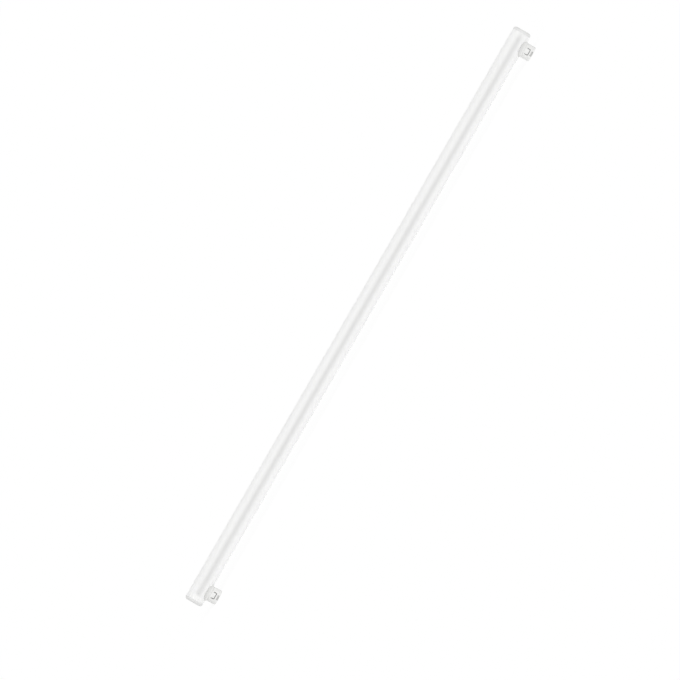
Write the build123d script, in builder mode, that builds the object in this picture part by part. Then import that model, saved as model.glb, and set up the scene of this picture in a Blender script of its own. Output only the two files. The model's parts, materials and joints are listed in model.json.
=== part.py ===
from build123d import *

import os
from math import sqrt

# A linear lamp: an opal tube, closed by flush caps, on two plug-in pegs. Millimetres.
# X runs along the tube and Z is up. The pegs point down and end on Z = 0, and the
# origin lies midway between them.

# Tube
lamp_length = 1000.0
tube_diameter = 29.0
tube_wall = 1.2
rail_thickness = 1.2
rail_grip = 1.3

# End caps
cap_length = 5.0
cap_edge_radius = 4.0
cap_end_wall = 2.0
spigot_length = 8.0
spigot_wall = 1.4
spigot_clearance = 0.1
tongue_width = 19.0
fork_arm_overrun = 9.0

# Pegs
peg_inset = 25.0
peg_diameter = 24.0
peg_projection = 15.5
cup_wall = 2.0
cup_end_wall = 0.8
cup_edge_radius = 0.6
cup_seam = 0.1
saddle_floor = 1.5
collar_overhang = 1.2
collar_corner_radius = 9.0
collar_rise = 5.6
collar_foot = 1.0
collar_edge_radius = 0.8
saddle_seat_gap = 0.1

# Snap tongues, contact windows and contact mouth of the cups
snap_tongue_width = 8.6
snap_tongue_length = 4.6
snap_slot = 1.1
snap_corner_radius = 1.6
snap_root_margin = 0.4
window_width = 7.3
window_height = 2.9
mouth_length = 13.0
mouth_width = 5.4

# Neck of a saddle, locked in the tube by the end cap's fork
neck_diameter = 15.0
neck_waist_diameter = 12.0
neck_hole_clearance = 0.2
neck_bore_diameter = 7.0
neck_floor = 2.0
neck_head_height = 1.9
fork_clearance = 0.2
cup_spigot_length = 2.0
cup_spigot_wall = 1.5
cup_spigot_clearance = 0.1

# Contact blades
blade_width = 11.2
blade_thickness = 1.0
blade_bend_radius = 0.5
blade_side_clearance = 0.2
blade_tip_clearance = 0.2
blade_tip_chamfer = 1.0
stud_clearance = 0.2
tail_width = 4.0
tail_overrun = 1.9
tail_clearance = 0.1

# Carrier strip and light boards
strip_thickness = 1.5
strip_clearance = 0.1
strip_side_clearance = 0.3
strip_end_clearance = 0.5
strip_rib_width = 1.2
strip_rib_depth = 2.0
strip_rib_inset = 1.1
board_side_clearance = 1.1
board_thickness = 1.0
board_joint_gap = 0.5
board_end_margin = 0.5
led_length = 3.5
led_width = 2.8
led_height = 0.7
led_pitch = 9.0
rivet_diameter = 2.4
rivet_clearance = 0.05
rivet_head_diameter = 4.0
rivet_head_height = 0.8
rivet_tail_diameter = 3.4
rivet_count = 4
rivet_end_margin = 16.0
rivet_offset = 6.5
link_length = 8.0
link_width = 2.0
link_thickness = 0.3
link_spacing = 8.0

# Power board and what hangs under it
power_length = 70.0
power_side_clearance = 0.6
power_thickness = 1.2
power_offset = 25.0
component_clearance = 4.0
pad_length = 12.0
pad_width = 9.0
pad_thickness = 1.5
pad_spacing = 46.0
can_diameter = 6.0
can_length = 12.0
can_crimp_depth = 0.3
can_crimp_width = 0.8
can_crimp_inset = 1.4
can_edge_radius = 0.5
choke_diameter = 6.4
choke_waist_diameter = 5.0
choke_height = 5.0
choke_flange = 1.0
film_length = 7.2
film_width = 3.6
film_height = 5.0
film_edge_radius = 0.6
fuse_diameter = 2.4
fuse_bulge_diameter = 3.0
fuse_bulge_length = 1.6
fuse_length = 7.0
fuse_lead_diameter = 0.6
fuse_lead_length = 2.0
chip_leg_length = 0.9
chip_leg_width = 0.5
chip_leg_height = 0.3
chip_draft = 6.0
pin_diameter = 0.8
pin_spacing = 10.0
pin_inset = 4.0
pin_overrun = 0.6
pin_clearance = 0.05
pin_passage_diameter = 4.0
rectifier_size = (4.8, 4.0, 2.4)
rectifier_leg_pitch = 2.6
driver_chip_size = (4.9, 3.9, 1.5)
driver_chip_leg_pitch = 1.27

# Where each part sits along the power board, from its input end, and sideways
fuse_spot = (12.0, 4.0)
rectifier_spot = (14.0, -2.0)
film_spot = (24.0, 0.0)
choke_spot = (33.0, 0.0)
driver_chip_spot = (42.0, 0.0)
can_spot = (54.0, 0.0)

# Insulated leads
lead_diameter = 1.4
lead_clearance = 0.05
lead_lift = 0.35
lead_bend_radius = 8.0
live_first_run = 9.0
live_last_run = 10.0
live_overlap = 6.0
live_side = 6.5
neutral_first_run = 14.0
neutral_drop_run = 24.0
neutral_rise_run = 22.0
neutral_last_run = 10.0
neutral_overlap = 2.0
neutral_side = 6.0

# Places worked out from the sizes above
tube_radius = tube_diameter / 2
bore_radius = tube_radius - tube_wall
axis_z = peg_projection + tube_radius
tube_length = lamp_length - 2 * cap_length
tube_end = tube_length / 2
peg_x = lamp_length / 2 - peg_inset
peg_radius = peg_diameter / 2
bore_bottom = axis_z - bore_radius

strip_bottom = bore_bottom + component_clearance + can_diameter + power_thickness + pad_thickness
strip_drop = axis_z - strip_bottom
strip_top = strip_bottom + strip_thickness
strip_half_width = sqrt(bore_radius**2 - strip_drop**2) - strip_side_clearance
strip_length = 2 * (tube_end - spigot_length - strip_end_clearance)
rail_tip = strip_half_width - rail_grip
lower_rail_z = strip_bottom - strip_clearance - rail_thickness / 2
upper_rail_z = strip_top + strip_clearance + rail_thickness / 2
rails_mid_z = (lower_rail_z + upper_rail_z) / 2
rails_height = upper_rail_z - lower_rail_z + rail_thickness
strip_rib_spacing = 2 * (rail_tip - strip_rib_inset)

spigot_radius = bore_radius - spigot_clearance
spigot_bore_radius = spigot_radius - spigot_wall
tongue_length = tube_end - peg_x + fork_arm_overrun

seam_z = peg_projection - saddle_floor
cup_top = seam_z - cup_seam
cup_bore_radius = peg_radius - cup_wall
collar_width = peg_diameter + 2 * collar_overhang
collar_bottom = seam_z + collar_foot
collar_top = peg_projection + collar_rise
neck_radius = neck_diameter / 2
neck_waist_radius = neck_waist_diameter / 2
neck_hole_radius = neck_radius + neck_hole_clearance
fork_half_slot = neck_waist_radius + fork_clearance
waist_bottom = axis_z - spigot_radius - fork_clearance
waist_top = axis_z - sqrt(spigot_bore_radius**2 - neck_radius**2) + fork_clearance
neck_top = waist_top + neck_head_height
cup_spigot_radius = cup_bore_radius - cup_spigot_clearance

snap_slot_top = seam_z - cup_spigot_length - snap_root_margin
snap_slot_bottom = snap_slot_top - snap_tongue_length - snap_slot
snap_slot_width = snap_tongue_width + 2 * snap_slot
tail_top = neck_top + tail_overrun
blade_reach = cup_spigot_radius - cup_spigot_wall - blade_side_clearance
blade_spread = 2 * sqrt(blade_reach**2 - (blade_width / 2) ** 2)
blade_height = seam_z - cup_end_wall - blade_tip_clearance
stud_width = window_width - 2 * stud_clearance
stud_height = window_height - 2 * stud_clearance
stud_reach = sqrt(peg_radius**2 - (stud_width / 2) ** 2) - stud_clearance

board_top = strip_top + board_thickness
board_width = 2 * (rail_tip - board_side_clearance)
board_length = strip_length / 2 - board_end_margin - board_joint_gap / 2
board_mid_x = (board_length + board_joint_gap) / 2
led_count = int(board_length / led_pitch)
rivet_pitch = (board_length - 2 * rivet_end_margin) / (rivet_count - 1)
power_top = strip_bottom - pad_thickness
power_bottom = power_top - power_thickness
power_width = strip_rib_spacing - strip_rib_width - 2 * power_side_clearance
power_start_x = power_offset - peg_x
power_mid_x = power_start_x + power_length / 2
power_end_x = power_start_x + power_length
pin_x = power_end_x - pin_inset
pin_places = [(pin_x, -pin_spacing / 2), (pin_x, pin_spacing / 2)]

fuse_place = (power_start_x + fuse_spot[0], fuse_spot[1])
rectifier_place = (power_start_x + rectifier_spot[0], rectifier_spot[1])
film_place = (power_start_x + film_spot[0], film_spot[1])
choke_place = (power_start_x + choke_spot[0], choke_spot[1])
driver_chip_place = (power_start_x + driver_chip_spot[0], driver_chip_spot[1])
can_place = (power_start_x + can_spot[0], can_spot[1])

tube_start_plane = Plane.YZ.offset(-tube_end)
tube_axis = Axis((0, 0, axis_z), (1, 0, 0))
left_peg_plane = Plane((-peg_x, 0, 0), x_dir=(1, 0, 0), z_dir=(0, -1, 0))
left_peg_axis = Axis((-peg_x, 0, 0), (0, 0, 1))


def across_yz(piece):
    """The same piece at the other end of the lamp."""
    with BuildPart() as twin:
        mirror(piece, about=Plane.YZ)
    return twin.part


# Diffuser tube: an extrusion with two pairs of rails, and a round hole for each peg's neck
with BuildPart() as diffuser_tube:
    with BuildSketch(tube_start_plane):
        with Locations((0, axis_z)):
            Circle(tube_radius)
            Circle(bore_radius, mode=Mode.SUBTRACT)
    with BuildSketch(tube_start_plane):
        with Locations((0, lower_rail_z), (0, upper_rail_z)):
            Rectangle(tube_diameter, rail_thickness)
        with Locations((0, axis_z)):
            Circle(tube_radius - tube_wall / 2, mode=Mode.INTERSECT)
            Rectangle(2 * rail_tip, tube_diameter, mode=Mode.SUBTRACT)
    extrude(amount=tube_length)
    with Locations((-peg_x, 0, peg_projection), (peg_x, 0, peg_projection)):
        Hole(neck_hole_radius, depth=bore_radius)

# End cap: a round-edged shell with a spigot, and a forked tongue that locks the peg's neck
with BuildPart() as end_cap_left:
    with BuildSketch(Plane.XZ):
        with BuildLine():
            Polyline(
                (-lamp_length / 2, axis_z),
                (-lamp_length / 2, axis_z + tube_radius),
                (-tube_end, axis_z + tube_radius),
                (-tube_end, axis_z + spigot_radius),
                (-tube_end + spigot_length, axis_z + spigot_radius),
                (-tube_end + spigot_length, axis_z + spigot_bore_radius),
                (-lamp_length / 2 + cap_end_wall, axis_z + spigot_bore_radius),
                (-lamp_length / 2 + cap_end_wall, axis_z),
                close=True,
            )
        make_face()
    revolve(axis=tube_axis)
    fillet(end_cap_left.edges().group_by(Axis.X)[0], cap_edge_radius)
    with BuildSketch(tube_start_plane):
        with Locations((0, axis_z)):
            Circle(spigot_radius)
            Circle(spigot_bore_radius, mode=Mode.SUBTRACT)
        with Locations((0, axis_z - spigot_radius)):
            Rectangle(tongue_width, spigot_radius, mode=Mode.INTERSECT)
    extrude(amount=tongue_length)
    with BuildSketch(Plane.XY.offset(axis_z)):
        with Locations((-peg_x, 0)):
            Circle(fork_half_slot)
            Rectangle(2 * fork_arm_overrun, 2 * fork_half_slot, align=(Align.MIN, Align.CENTER))
    extrude(amount=-tube_diameter, mode=Mode.SUBTRACT)
    with BuildSketch(tube_start_plane):
        with Locations((0, rails_mid_z)):
            Rectangle(tube_diameter, rails_height + 2 * fork_clearance)
            Rectangle(2 * (rail_tip - fork_clearance), 2 * rails_height, mode=Mode.SUBTRACT)
    extrude(amount=spigot_length, mode=Mode.SUBTRACT)

# Peg saddle: a soft-edged collar hollowed to the tube, on a round foot, with a grooved neck above
# and a short spigot below
with BuildPart() as peg_saddle_left:
    with BuildSketch(Plane.XY.offset(collar_bottom)):
        with Locations((-peg_x, 0)):
            RectangleRounded(collar_width, collar_width, collar_corner_radius)
    extrude(amount=collar_top - collar_bottom)
    collar_rims = peg_saddle_left.edges().group_by(Axis.Z)
    fillet(collar_rims[0] + collar_rims[-1], collar_edge_radius)
    with BuildSketch(Plane.XY.offset(seam_z)):
        with Locations((-peg_x, 0)):
            Circle(peg_radius)
    extrude(amount=collar_foot + collar_edge_radius)
    with Locations((-peg_x, 0, axis_z)):
        Cylinder(
            tube_radius + saddle_seat_gap,
            2 * peg_diameter,
            rotation=(0, 90, 0),
            mode=Mode.SUBTRACT,
        )
    with BuildSketch(left_peg_plane):
        with BuildLine():
            Polyline(
                (0, seam_z),
                (neck_radius, seam_z),
                (neck_radius, waist_bottom),
                (neck_waist_radius, waist_bottom),
                (neck_waist_radius, waist_top),
                (neck_radius, waist_top),
                (neck_radius, neck_top),
                (0, neck_top),
                close=True,
            )
        make_face()
        with Locations((cup_spigot_radius, seam_z)):
            Rectangle(cup_spigot_wall, cup_spigot_length, align=(Align.MAX, Align.MAX))
    revolve(axis=left_peg_axis)
    with Locations((-peg_x, 0, neck_top)):
        Hole(neck_bore_diameter / 2, depth=neck_top - seam_z - neck_floor)
    with BuildSketch(Plane.XY.offset(seam_z)):
        with Locations((-peg_x, 0)):
            Rectangle(tail_width + 2 * tail_clearance, blade_thickness + 2 * tail_clearance)
    extrude(amount=neck_floor, mode=Mode.SUBTRACT)

# Peg cup: a thin moulded cup with a snap tongue and a contact window on both flanks
with BuildPart() as peg_cup_left:
    with BuildSketch(left_peg_plane):
        with BuildLine():
            Polyline(
                (0, 0),
                (peg_radius, 0),
                (peg_radius, cup_top),
                (cup_bore_radius, cup_top),
                (cup_bore_radius, cup_end_wall),
                (0, cup_end_wall),
                close=True,
            )
        make_face()
    revolve(axis=left_peg_axis)
    fillet(peg_cup_left.edges().group_by(Axis.Z)[0], cup_edge_radius)
    with BuildSketch(Plane.XY):
        with Locations((-peg_x, 0)):
            Rectangle(mouth_length, mouth_width)
    extrude(amount=cup_end_wall, mode=Mode.SUBTRACT)
    with BuildSketch(left_peg_plane) as flank_cuts:
        with Locations((0, snap_slot_top)):
            Rectangle(
                snap_slot_width,
                snap_slot_top - snap_slot_bottom,
                align=(Align.CENTER, Align.MAX),
            )
        fillet(flank_cuts.vertices().group_by(Axis.Y)[0], snap_corner_radius)
        with Locations((0, snap_slot_top)):
            Rectangle(
                snap_tongue_width,
                snap_tongue_length,
                align=(Align.CENTER, Align.MAX),
                mode=Mode.SUBTRACT,
            )
        with Locations((0, cup_end_wall)):
            Rectangle(window_width, window_height, align=(Align.CENTER, Align.MIN))
    extrude(amount=peg_diameter, both=True, mode=Mode.SUBTRACT)

# Contact blade: a strip folded into two leaves, with a stud in each window and a tail through the
# neck for its lead
with BuildPart() as contact_blade_left:
    with BuildSketch(Plane.YZ.offset(-peg_x)) as fold:
        with Locations((0, seam_z)):
            Rectangle(blade_spread, blade_height, align=(Align.CENTER, Align.MAX))
        fillet(fold.vertices().group_by(Axis.Y)[-1], blade_bend_radius + blade_thickness)
        with Locations((0, seam_z - blade_thickness)):
            Rectangle(
                blade_spread - 2 * blade_thickness,
                blade_height - blade_thickness,
                align=(Align.CENTER, Align.MAX),
                mode=Mode.SUBTRACT,
            )
        fillet(fold.vertices(Select.LAST).group_by(Axis.Y)[-1], blade_bend_radius)
    extrude(amount=blade_width / 2, both=True)
    chamfer(
        contact_blade_left.edges().filter_by(Axis.Y).group_by(Axis.Z)[0],
        blade_tip_chamfer,
    )
    with BuildSketch(Plane.YZ.offset(-peg_x)):
        with Locations((0, cup_end_wall + stud_clearance)):
            Rectangle(2 * stud_reach, stud_height, align=(Align.CENTER, Align.MIN))
            Rectangle(
                blade_spread - blade_thickness,
                stud_height,
                align=(Align.CENTER, Align.MIN),
                mode=Mode.SUBTRACT,
            )
    extrude(amount=stud_width / 2, both=True)
    with BuildSketch(left_peg_plane):
        with Locations((0, seam_z - blade_thickness)):
            Rectangle(
                tail_width,
                tail_top - seam_z + blade_thickness,
                align=(Align.CENTER, Align.MIN),
            )
    extrude(amount=blade_thickness / 2, both=True)

# Carrier strip: a flat aluminium section with two stiffening ribs underneath
rivet_line = GridLocations(rivet_pitch, 1, rivet_count, 1)
rivet_places = [
    (side * board_mid_x + spot.position.X, side * rivet_offset)
    for side in (-1, 1)
    for spot in rivet_line
]
with BuildPart() as carrier_strip:
    with BuildSketch(Plane.YZ.offset(-strip_length / 2)):
        with Locations((0, strip_top)):
            Rectangle(2 * strip_half_width, strip_thickness, align=(Align.CENTER, Align.MAX))
        with Locations((-strip_rib_spacing / 2, strip_bottom), (strip_rib_spacing / 2, strip_bottom)):
            Rectangle(strip_rib_width, strip_rib_depth, align=(Align.CENTER, Align.MAX))
    extrude(amount=strip_length)
    with Locations(Plane.XY.offset(strip_top)):
        with Locations(*rivet_places):
            Hole(rivet_diameter / 2 + rivet_clearance, depth=strip_thickness)
        with Locations(*pin_places):
            Hole(pin_passage_diameter / 2, depth=strip_thickness)


def light_board(side, pins):
    """One light board, on the left for side -1, with its rivet holes and any pin holes."""
    with BuildPart() as board:
        with BuildSketch(Plane.XY.offset(strip_top)):
            with Locations((side * board_mid_x, 0)):
                Rectangle(board_length, board_width)
            with Locations(*[place for place in rivet_places if place[0] * side > 0]):
                Circle(rivet_diameter / 2 + rivet_clearance, mode=Mode.SUBTRACT)
            if pins:
                with Locations(*pins):
                    Circle(pin_diameter / 2 + pin_clearance, mode=Mode.SUBTRACT)
        extrude(amount=board_thickness)
    return board.part


def led_packages(side):
    """The row of light sources on one board."""
    with BuildPart() as packages:
        with BuildSketch(Plane.XY.offset(board_top)):
            with Locations((side * board_mid_x, 0)):
                with GridLocations(led_pitch, 1, led_count, 1):
                    Rectangle(led_length, led_width)
        extrude(amount=led_height)
    return packages.part


def board_rivets(side):
    """The rivets of one board: a flat head above, a clenched tail below."""
    with BuildPart() as rivets:
        for rivet_x, rivet_y in rivet_places:
            if rivet_x * side > 0:
                with BuildSketch(Plane((rivet_x, rivet_y, 0), x_dir=(1, 0, 0), z_dir=(0, -1, 0))):
                    with Locations((0, board_top)):
                        Rectangle(
                            rivet_head_diameter / 2,
                            rivet_head_height,
                            align=(Align.MIN, Align.MIN),
                        )
                        Rectangle(
                            rivet_diameter / 2,
                            board_top - strip_bottom,
                            align=(Align.MIN, Align.MAX),
                        )
                    with Locations((0, strip_bottom)):
                        Rectangle(
                            rivet_tail_diameter / 2,
                            rivet_head_height,
                            align=(Align.MIN, Align.MAX),
                        )
                revolve(axis=Axis((rivet_x, rivet_y, 0), (0, 0, 1)))
    return rivets.part


# Flat links that join the two light boards at mid length
with BuildPart() as board_links:
    with BuildSketch(Plane.XY.offset(board_top)):
        with GridLocations(1, link_spacing, 1, 2):
            RectangleRounded(link_length, link_width, link_width / 4)
    extrude(amount=link_thickness)

# Power board, its two adhesive pads and the pins that feed the light board
with BuildPart() as driver_board:
    with BuildSketch(Plane.XY.offset(power_bottom)):
        with Locations((power_mid_x, 0)):
            Rectangle(power_length, power_width)
        with Locations(*pin_places):
            Circle(pin_diameter / 2 + pin_clearance, mode=Mode.SUBTRACT)
    extrude(amount=power_thickness)

with BuildPart() as foam_pads:
    with BuildSketch(Plane.XY.offset(power_top)):
        with Locations((power_mid_x, 0)):
            with GridLocations(pad_spacing, 1, 2, 1):
                Rectangle(pad_length, pad_width)
    extrude(amount=pad_thickness)

with BuildPart() as output_pins:
    with BuildSketch(Plane.XY.offset(power_bottom - pin_overrun)):
        with Locations(*pin_places):
            Circle(pin_diameter / 2)
    extrude(amount=board_top - power_bottom + 2 * pin_overrun)


def chip(place, size, legs_a_side, leg_pitch):
    """A moulded chip under the power board, with flat legs along its two long sides."""
    length, width, height = size
    with BuildPart() as body:
        with BuildSketch(Plane.XY.offset(power_bottom)):
            with Locations(place):
                Rectangle(length, width)
        extrude(amount=-height, taper=chip_draft)
        with BuildSketch(Plane.XY.offset(power_bottom)):
            with Locations(place):
                with GridLocations(leg_pitch, 1, legs_a_side, 1):
                    Rectangle(chip_leg_width, width + 2 * chip_leg_length)
        extrude(amount=-chip_leg_height)
    return body.part


rectifier = chip(rectifier_place, rectifier_size, 2, rectifier_leg_pitch)
driver_chip = chip(driver_chip_place, driver_chip_size, 4, driver_chip_leg_pitch)

# Smoothing capacitor: a can that lies along the board, crimped near its bung
can_radius = can_diameter / 2
can_axis_z = power_bottom - can_radius
can_end_x = can_place[0] - can_length / 2
with BuildPart() as smoothing_capacitor:
    with BuildSketch(Plane.XZ):
        with Locations((can_end_x, can_axis_z)):
            Rectangle(can_length, can_radius, align=(Align.MIN, Align.MIN))
        with Locations((can_end_x + can_crimp_inset, can_axis_z + can_radius)):
            Rectangle(
                can_crimp_width,
                2 * can_crimp_depth,
                mode=Mode.SUBTRACT,
            )
    revolve(axis=Axis((0, 0, can_axis_z), (1, 0, 0)))
    fillet(smoothing_capacitor.edges().group_by(Axis.X)[-1], can_edge_radius)

# Choke: a drum core with its winding
with BuildPart() as choke:
    with BuildSketch(Plane.XZ):
        with Locations((choke_place[0], power_bottom)):
            Rectangle(choke_diameter / 2, choke_height, align=(Align.MIN, Align.MAX))
        with Locations((choke_place[0] + choke_diameter / 2, power_bottom - choke_height / 2)):
            Rectangle(
                choke_diameter - choke_waist_diameter,
                choke_height - 2 * choke_flange,
                mode=Mode.SUBTRACT,
            )
    revolve(axis=Axis((choke_place[0], 0, 0), (0, 0, 1)))

# Film capacitor: a dipped block with soft edges
with BuildPart() as film_capacitor:
    with BuildSketch(Plane.XY.offset(power_bottom)):
        with Locations(film_place):
            RectangleRounded(film_length, film_width, film_edge_radius)
    extrude(amount=-film_height)
    fillet(film_capacitor.edges().group_by(Axis.Z)[0], film_edge_radius)

# Fuse resistor: a barrel with swollen ends and a wire at each end
fuse_axis_z = power_bottom - fuse_bulge_diameter / 2
fuse_plane = Plane((0, fuse_place[1], 0), x_dir=(1, 0, 0), z_dir=(0, -1, 0))
with BuildPart() as fuse_resistor:
    with BuildSketch(fuse_plane):
        with Locations((fuse_place[0], fuse_axis_z)):
            Rectangle(fuse_length, fuse_diameter / 2, align=(Align.CENTER, Align.MIN))
            Rectangle(
                fuse_length + 2 * fuse_lead_length,
                fuse_lead_diameter / 2,
                align=(Align.CENTER, Align.MIN),
            )
            with GridLocations(fuse_length - fuse_bulge_length, 1, 2, 1):
                Rectangle(
                    fuse_bulge_length,
                    fuse_bulge_diameter / 2,
                    align=(Align.CENTER, Align.MIN),
                )
    revolve(axis=Axis((0, fuse_place[1], fuse_axis_z), (1, 0, 0)))


def lead(route):
    """An insulated wire along a route of straight runs joined by arcs."""
    with BuildPart() as wire:
        with BuildLine() as path:
            FilletPolyline(*route, radius=lead_bend_radius)
        with BuildSketch(Plane(origin=path.wire() @ 0, z_dir=path.wire() % 0)):
            Circle(lead_diameter / 2)
        sweep()
    return wire.part


# Both leads start at the edge of a contact's tail and end under the power board. The long
# one lies along the bottom of the tube.
tail_edge_x = peg_x - tail_width / 2
lead_high_z = neck_top + lead_diameter / 2 + lead_lift
lead_low_z = bore_bottom + lead_diameter / 2 + lead_clearance
lead_board_z = power_bottom - lead_diameter / 2 - lead_clearance
live_end_x = power_start_x + live_overlap
neutral_end_x = power_end_x - neutral_overlap
live_lead = lead(
    [
        (-tail_edge_x, 0, lead_high_z),
        (-tail_edge_x + live_first_run, 0, lead_high_z),
        (live_end_x - live_last_run, -live_side, lead_board_z),
        (live_end_x, -live_side, lead_board_z),
    ]
)
neutral_lead = lead(
    [
        (tail_edge_x, 0, lead_high_z),
        (tail_edge_x - neutral_first_run, 0, lead_high_z),
        (tail_edge_x - neutral_first_run - neutral_drop_run, 0, lead_low_z),
        (neutral_end_x + neutral_last_run + neutral_rise_run, 0, lead_low_z),
        (neutral_end_x + neutral_last_run, neutral_side, lead_board_z),
        (neutral_end_x, neutral_side, lead_board_z),
    ]
)

pieces = {
    "diffuser_tube": diffuser_tube.part,
    "end_cap_left": end_cap_left.part,
    "end_cap_right": across_yz(end_cap_left.part),
    "peg_saddle_left": peg_saddle_left.part,
    "peg_saddle_right": across_yz(peg_saddle_left.part),
    "peg_cup_left": peg_cup_left.part,
    "peg_cup_right": across_yz(peg_cup_left.part),
    "contact_blade_left": contact_blade_left.part,
    "contact_blade_right": across_yz(contact_blade_left.part),
    "carrier_strip": carrier_strip.part,
    "led_board_left": light_board(-1, pin_places),
    "led_board_right": light_board(1, []),
    "led_packages_left": led_packages(-1),
    "led_packages_right": led_packages(1),
    "board_rivets_left": board_rivets(-1),
    "board_rivets_right": board_rivets(1),
    "board_links": board_links.part,
    "driver_board": driver_board.part,
    "foam_pads": foam_pads.part,
    "output_pins": output_pins.part,
    "rectifier": rectifier,
    "driver_chip": driver_chip,
    "smoothing_capacitor": smoothing_capacitor.part,
    "choke": choke.part,
    "film_capacitor": film_capacitor.part,
    "fuse_resistor": fuse_resistor.part,
    "live_lead": live_lead,
    "neutral_lead": neutral_lead,
}

os.makedirs("parts", exist_ok=True)
for name, piece in pieces.items():
    piece.label = name
    export_step(piece, f"parts/{name}.step")
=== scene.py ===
"""Dresses a linear lamp: an opal tube with flush end caps on two plug-in pegs. Lengths are in metres."""

import json
import math
from collections import namedtuple

import bmesh
import bpy
from bpy.props import FloatProperty, FloatVectorProperty, IntProperty, PointerProperty
from bpy.types import Operator, Panel, PropertyGroup
from mathutils import Matrix, Vector


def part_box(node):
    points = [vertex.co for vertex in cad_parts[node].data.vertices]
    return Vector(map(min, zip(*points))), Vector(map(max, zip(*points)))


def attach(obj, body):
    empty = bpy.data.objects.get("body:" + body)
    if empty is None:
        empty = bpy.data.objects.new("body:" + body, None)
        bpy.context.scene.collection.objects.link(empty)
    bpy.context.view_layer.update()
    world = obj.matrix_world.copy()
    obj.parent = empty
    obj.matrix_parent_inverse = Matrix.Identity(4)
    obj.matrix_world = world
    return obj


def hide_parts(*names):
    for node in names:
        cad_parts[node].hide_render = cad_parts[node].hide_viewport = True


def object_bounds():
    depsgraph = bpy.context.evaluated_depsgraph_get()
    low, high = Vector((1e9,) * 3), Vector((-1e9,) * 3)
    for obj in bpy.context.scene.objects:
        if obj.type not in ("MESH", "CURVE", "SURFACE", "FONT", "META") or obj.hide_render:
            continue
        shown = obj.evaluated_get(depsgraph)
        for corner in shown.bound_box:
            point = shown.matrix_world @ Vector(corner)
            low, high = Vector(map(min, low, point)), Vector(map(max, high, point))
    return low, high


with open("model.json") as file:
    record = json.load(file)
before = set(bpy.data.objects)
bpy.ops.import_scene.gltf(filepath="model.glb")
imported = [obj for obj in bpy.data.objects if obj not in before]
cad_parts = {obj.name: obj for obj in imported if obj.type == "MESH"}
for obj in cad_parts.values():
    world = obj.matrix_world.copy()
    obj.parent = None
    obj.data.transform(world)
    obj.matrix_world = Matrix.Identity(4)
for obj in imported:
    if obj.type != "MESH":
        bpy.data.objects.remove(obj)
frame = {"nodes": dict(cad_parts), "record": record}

bl_info = {
    "name": "Linear tube lamp",
    "version": (1, 0, 0),
    "blender": (4, 5, 0),
    "location": "View3D > Sidebar > Lamp",
    "description": "Builds a linear lamp's tube, caps and pegs, finishes its inside and sets its stage",
    "category": "Object",
}

MM = 0.001
ENDS = {"left": -1, "right": 1}

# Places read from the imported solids
CAD_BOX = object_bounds()
CAP_LOW, CAP_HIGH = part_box("end_cap_left")
TUBE_LOW, TUBE_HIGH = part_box("diffuser_tube")
SADDLE_LOW, SADDLE_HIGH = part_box("peg_saddle_left")
STRIP_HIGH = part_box("carrier_strip")[1]
CUP_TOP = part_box("peg_cup_left")[1].z
LEDS_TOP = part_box("led_packages_left")[1].z
MOUNTS = {mount["name"]: mount for mount in frame["record"]["mounts"]}

LAMP_LENGTH = CAD_BOX[1].x - CAD_BOX[0].x
TUBE_RADIUS = (CAP_HIGH.z - CAP_LOW.z) / 2
AXIS_Z = (CAP_HIGH.z + CAP_LOW.z) / 2
TUBE_END = TUBE_HIGH.x
CAP_LENGTH = TUBE_LOW.x - CAP_LOW.x
FORK_LENGTH = CAP_HIGH.x - TUBE_LOW.x
PEG_X = MOUNTS["peg_right"]["pos_m"][0]
PEG_RADIUS = MOUNTS["peg_right"]["dims"]["r_mm"] * MM
COLLAR_HALF = (SADDLE_HIGH.y - SADDLE_LOW.y) / 2
NECK_TOP = SADDLE_HIGH.z
TUBE_FOOT = AXIS_Z - TUBE_RADIUS

# How the meshes are made
SHARP_ANGLE = math.radians(32)
WELD_DISTANCE = 0.0005 * MM
CUT_OVERRUN = 2 * MM
EDGE_STEPS = 6
CORNER_STEPS = 8
SLOT_STEPS = 32

# Scales of a surface's noise along X, Y and Z, and heights of moulded grain
EVEN = (1.0, 1.0, 1.0)
ALONG_TUBE = (0.01, 1.0, 1.0)
UP_PEG = (1.0, 1.0, 0.03)
CAP_GRAIN = 0.006 * MM
PEG_GRAIN = 0.008 * MM

# The floor's gap under the lamp, and how many times its own distance the camera sees
FLOOR_GAP = 0.05 * MM
VIEW_RANGE = 4


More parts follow.
